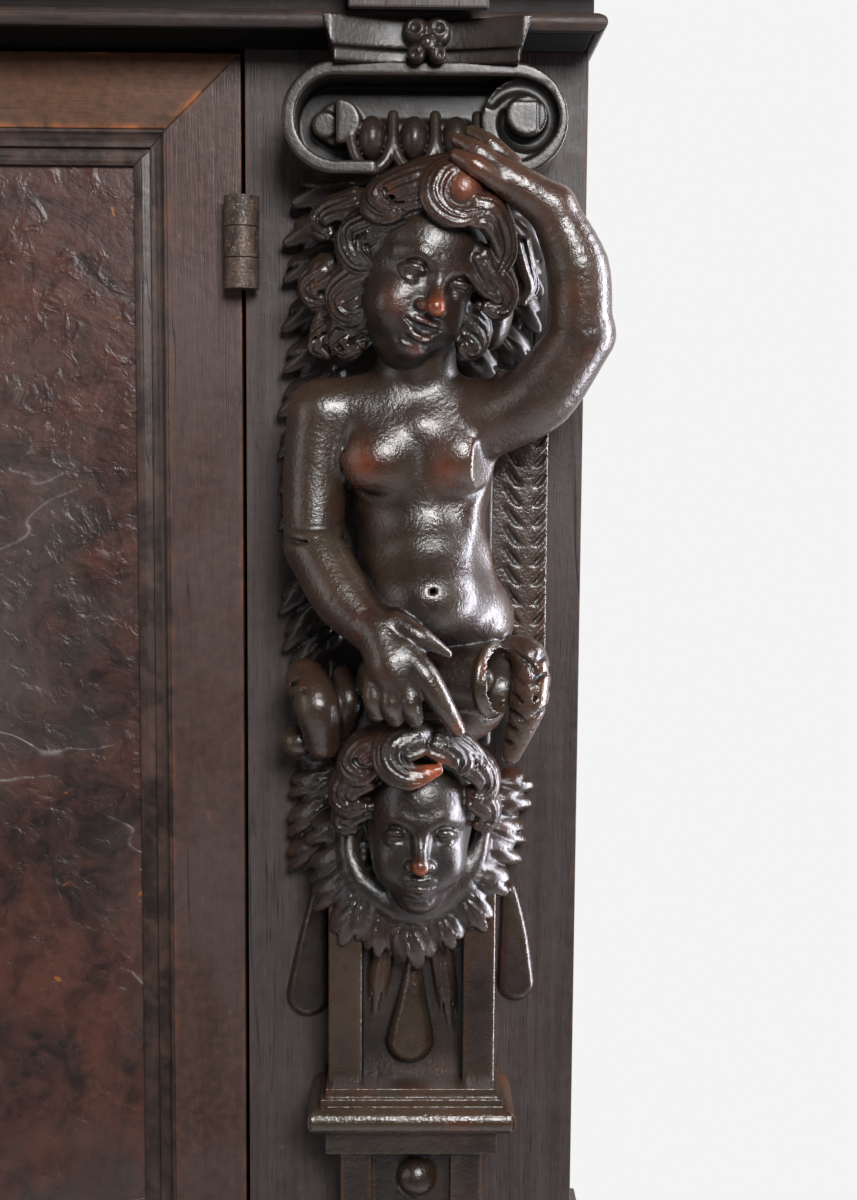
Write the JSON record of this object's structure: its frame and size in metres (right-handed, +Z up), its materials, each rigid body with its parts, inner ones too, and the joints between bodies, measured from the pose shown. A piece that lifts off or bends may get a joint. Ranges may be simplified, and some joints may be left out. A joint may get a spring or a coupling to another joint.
{
  "type": "two-part cabinet",
  "caption": "Tall carved wooden cabinet in two stacked cases, each with panelled doors between pilasters of carved child figures, with drawers at the waist.",
  "frame": {"origin": "on the floor, under the centre of the cabinet's box", "axes": "+Z up, +X to the viewer's right, the doors face -Y"},
  "size_m": [1.22, 0.5609, 2.01],
  "materials": {
    "walnut_case": "old waxed walnut, grey-brown, worn",
    "walnut_door": "old waxed walnut with red-brown wear",
    "walnut_carved": "dark polished carved walnut, rubbed on the high spots",
    "walnut_moulding": "dark waxed walnut",
    "walnut_turned": "dark waxed turned walnut",
    "walnut_inside": "unpolished walnut",
    "burl_panel": "dark varnished burl, crazed",
    "hinge_iron": "rusted and waxed wrought iron",
    "lock_iron": "dark wrought iron"
  },
  "bodies": {
    "lower_case": {"drawer_guides": "walnut_inside", "feet": "walnut_turned", "frieze_frame": "walnut_case", "locating_pegs": "walnut_turned", "lower_architrave": "walnut_moulding", "lower_back_boards": "walnut_inside", "lower_head_board": "walnut_case", "lower_hinge_leaves": "hinge_iron", "lower_left_figure": "walnut_carved", "lower_left_pilaster": "walnut_carved", "lower_right_figure": "walnut_carved", "lower_right_pilaster": "walnut_carved", "lower_shelf": "walnut_inside", "lower_sides": "walnut_case", "lower_stile_left": "walnut_case", "lower_stile_right": "walnut_case", "lower_top_board": "walnut_case", "plinth": "walnut_case", "plinth_moulding": "walnut_moulding", "waist_moulding": "walnut_moulding"},
    "upper_case": {"cornice": "walnut_moulding", "frieze_boards": "walnut_case", "top_board": "walnut_inside", "upper_architrave": "walnut_moulding", "upper_back_boards": "walnut_inside", "upper_base": "walnut_case", "upper_base_moulding": "walnut_moulding", "upper_head_board": "walnut_case", "upper_hinge_leaves": "hinge_iron", "upper_left_figure": "walnut_carved", "upper_left_pilaster": "walnut_carved", "upper_right_figure": "walnut_carved", "upper_right_pilaster": "walnut_carved", "upper_shelf": "walnut_inside", "upper_sides": "walnut_case", "upper_stile_left": "walnut_case", "upper_stile_right": "walnut_case"},
    "upper_left_door": {"upper_left_door_frame": "walnut_door", "upper_left_door_panel": "burl_panel", "upper_left_door_hinges": "hinge_iron"},
    "upper_right_door": {"upper_right_door_frame": "walnut_door", "upper_right_door_panel": "burl_panel", "upper_right_door_hinges": "hinge_iron", "upper_lock": "lock_iron"},
    "upper_key": {"upper_key": "lock_iron"},
    "upper_bolt": {"upper_bolt": "lock_iron"},
    "lower_left_door": {"lower_left_door_frame": "walnut_door", "lower_left_door_panel": "burl_panel", "lower_left_door_hinges": "hinge_iron"},
    "lower_right_door": {"lower_right_door_frame": "walnut_door", "lower_right_door_panel": "burl_panel", "lower_right_door_hinges": "hinge_iron", "lower_lock": "lock_iron"},
    "lower_key": {"lower_key": "lock_iron"},
    "lower_bolt": {"lower_bolt": "lock_iron"},
    "left_drawer": {"left_drawer": "walnut_case", "left_drawer_knob": "walnut_turned"},
    "right_drawer": {"right_drawer": "walnut_case", "right_drawer_knob": "walnut_turned"}
  },
  "joints": [
    {"name": "upper_case_lift", "type": "slide", "parent": "lower_case", "child": "upper_case", "axis": [0, 0, 1], "range_m": [0, 0.03]},
    {"name": "upper_left_door_hinge", "type": "hinge", "parent": "upper_case", "child": "upper_left_door", "pos_m": [-0.389, -0.1455, 1.45], "axis": [0, 0, -1], "range_deg": [0, 100]},
    {"name": "upper_right_door_hinge", "type": "hinge", "parent": "upper_case", "child": "upper_right_door", "pos_m": [0.389, -0.1455, 1.45], "axis": [0, 0, 1], "range_deg": [0, 100]},
    {"name": "upper_key_turn", "type": "hinge", "parent": "upper_right_door", "child": "upper_key", "pos_m": [0.02, -0.1365, 1.45], "axis": [0, 1, 0], "range_deg": [0, 182]},
    {"name": "upper_bolt_slide", "type": "slide", "parent": "upper_right_door", "child": "upper_bolt", "axis": [-1, 0, 0], "range_m": [0, 0.012]},
    {"name": "lower_left_door_hinge", "type": "hinge", "parent": "lower_case", "child": "lower_left_door", "pos_m": [-0.419, -0.1955, 0.52], "axis": [0, 0, -1], "range_deg": [0, 100]},
    {"name": "lower_right_door_hinge", "type": "hinge", "parent": "lower_case", "child": "lower_right_door", "pos_m": [0.419, -0.1955, 0.52], "axis": [0, 0, 1], "range_deg": [0, 100]},
    {"name": "lower_key_turn", "type": "hinge", "parent": "lower_right_door", "child": "lower_key", "pos_m": [0.02, -0.1865, 0.52], "axis": [0, 1, 0], "range_deg": [0, 182]},
    {"name": "lower_bolt_slide", "type": "slide", "parent": "lower_right_door", "child": "lower_bolt", "axis": [-1, 0, 0], "range_m": [0, 0.012]},
    {"name": "left_drawer_slide", "type": "slide", "parent": "lower_case", "child": "left_drawer", "axis": [0, -1, 0], "range_m": [0, 0.28]},
    {"name": "right_drawer_slide", "type": "slide", "parent": "lower_case", "child": "right_drawer", "axis": [0, -1, 0], "range_m": [0, 0.28]}
  ],
  "couplings": [
    {"joint": "upper_key_turn", "follows": "upper_bolt_slide", "rad_per_m": 261.79},
    {"joint": "lower_key_turn", "follows": "lower_bolt_slide", "rad_per_m": 261.79}
  ]
}
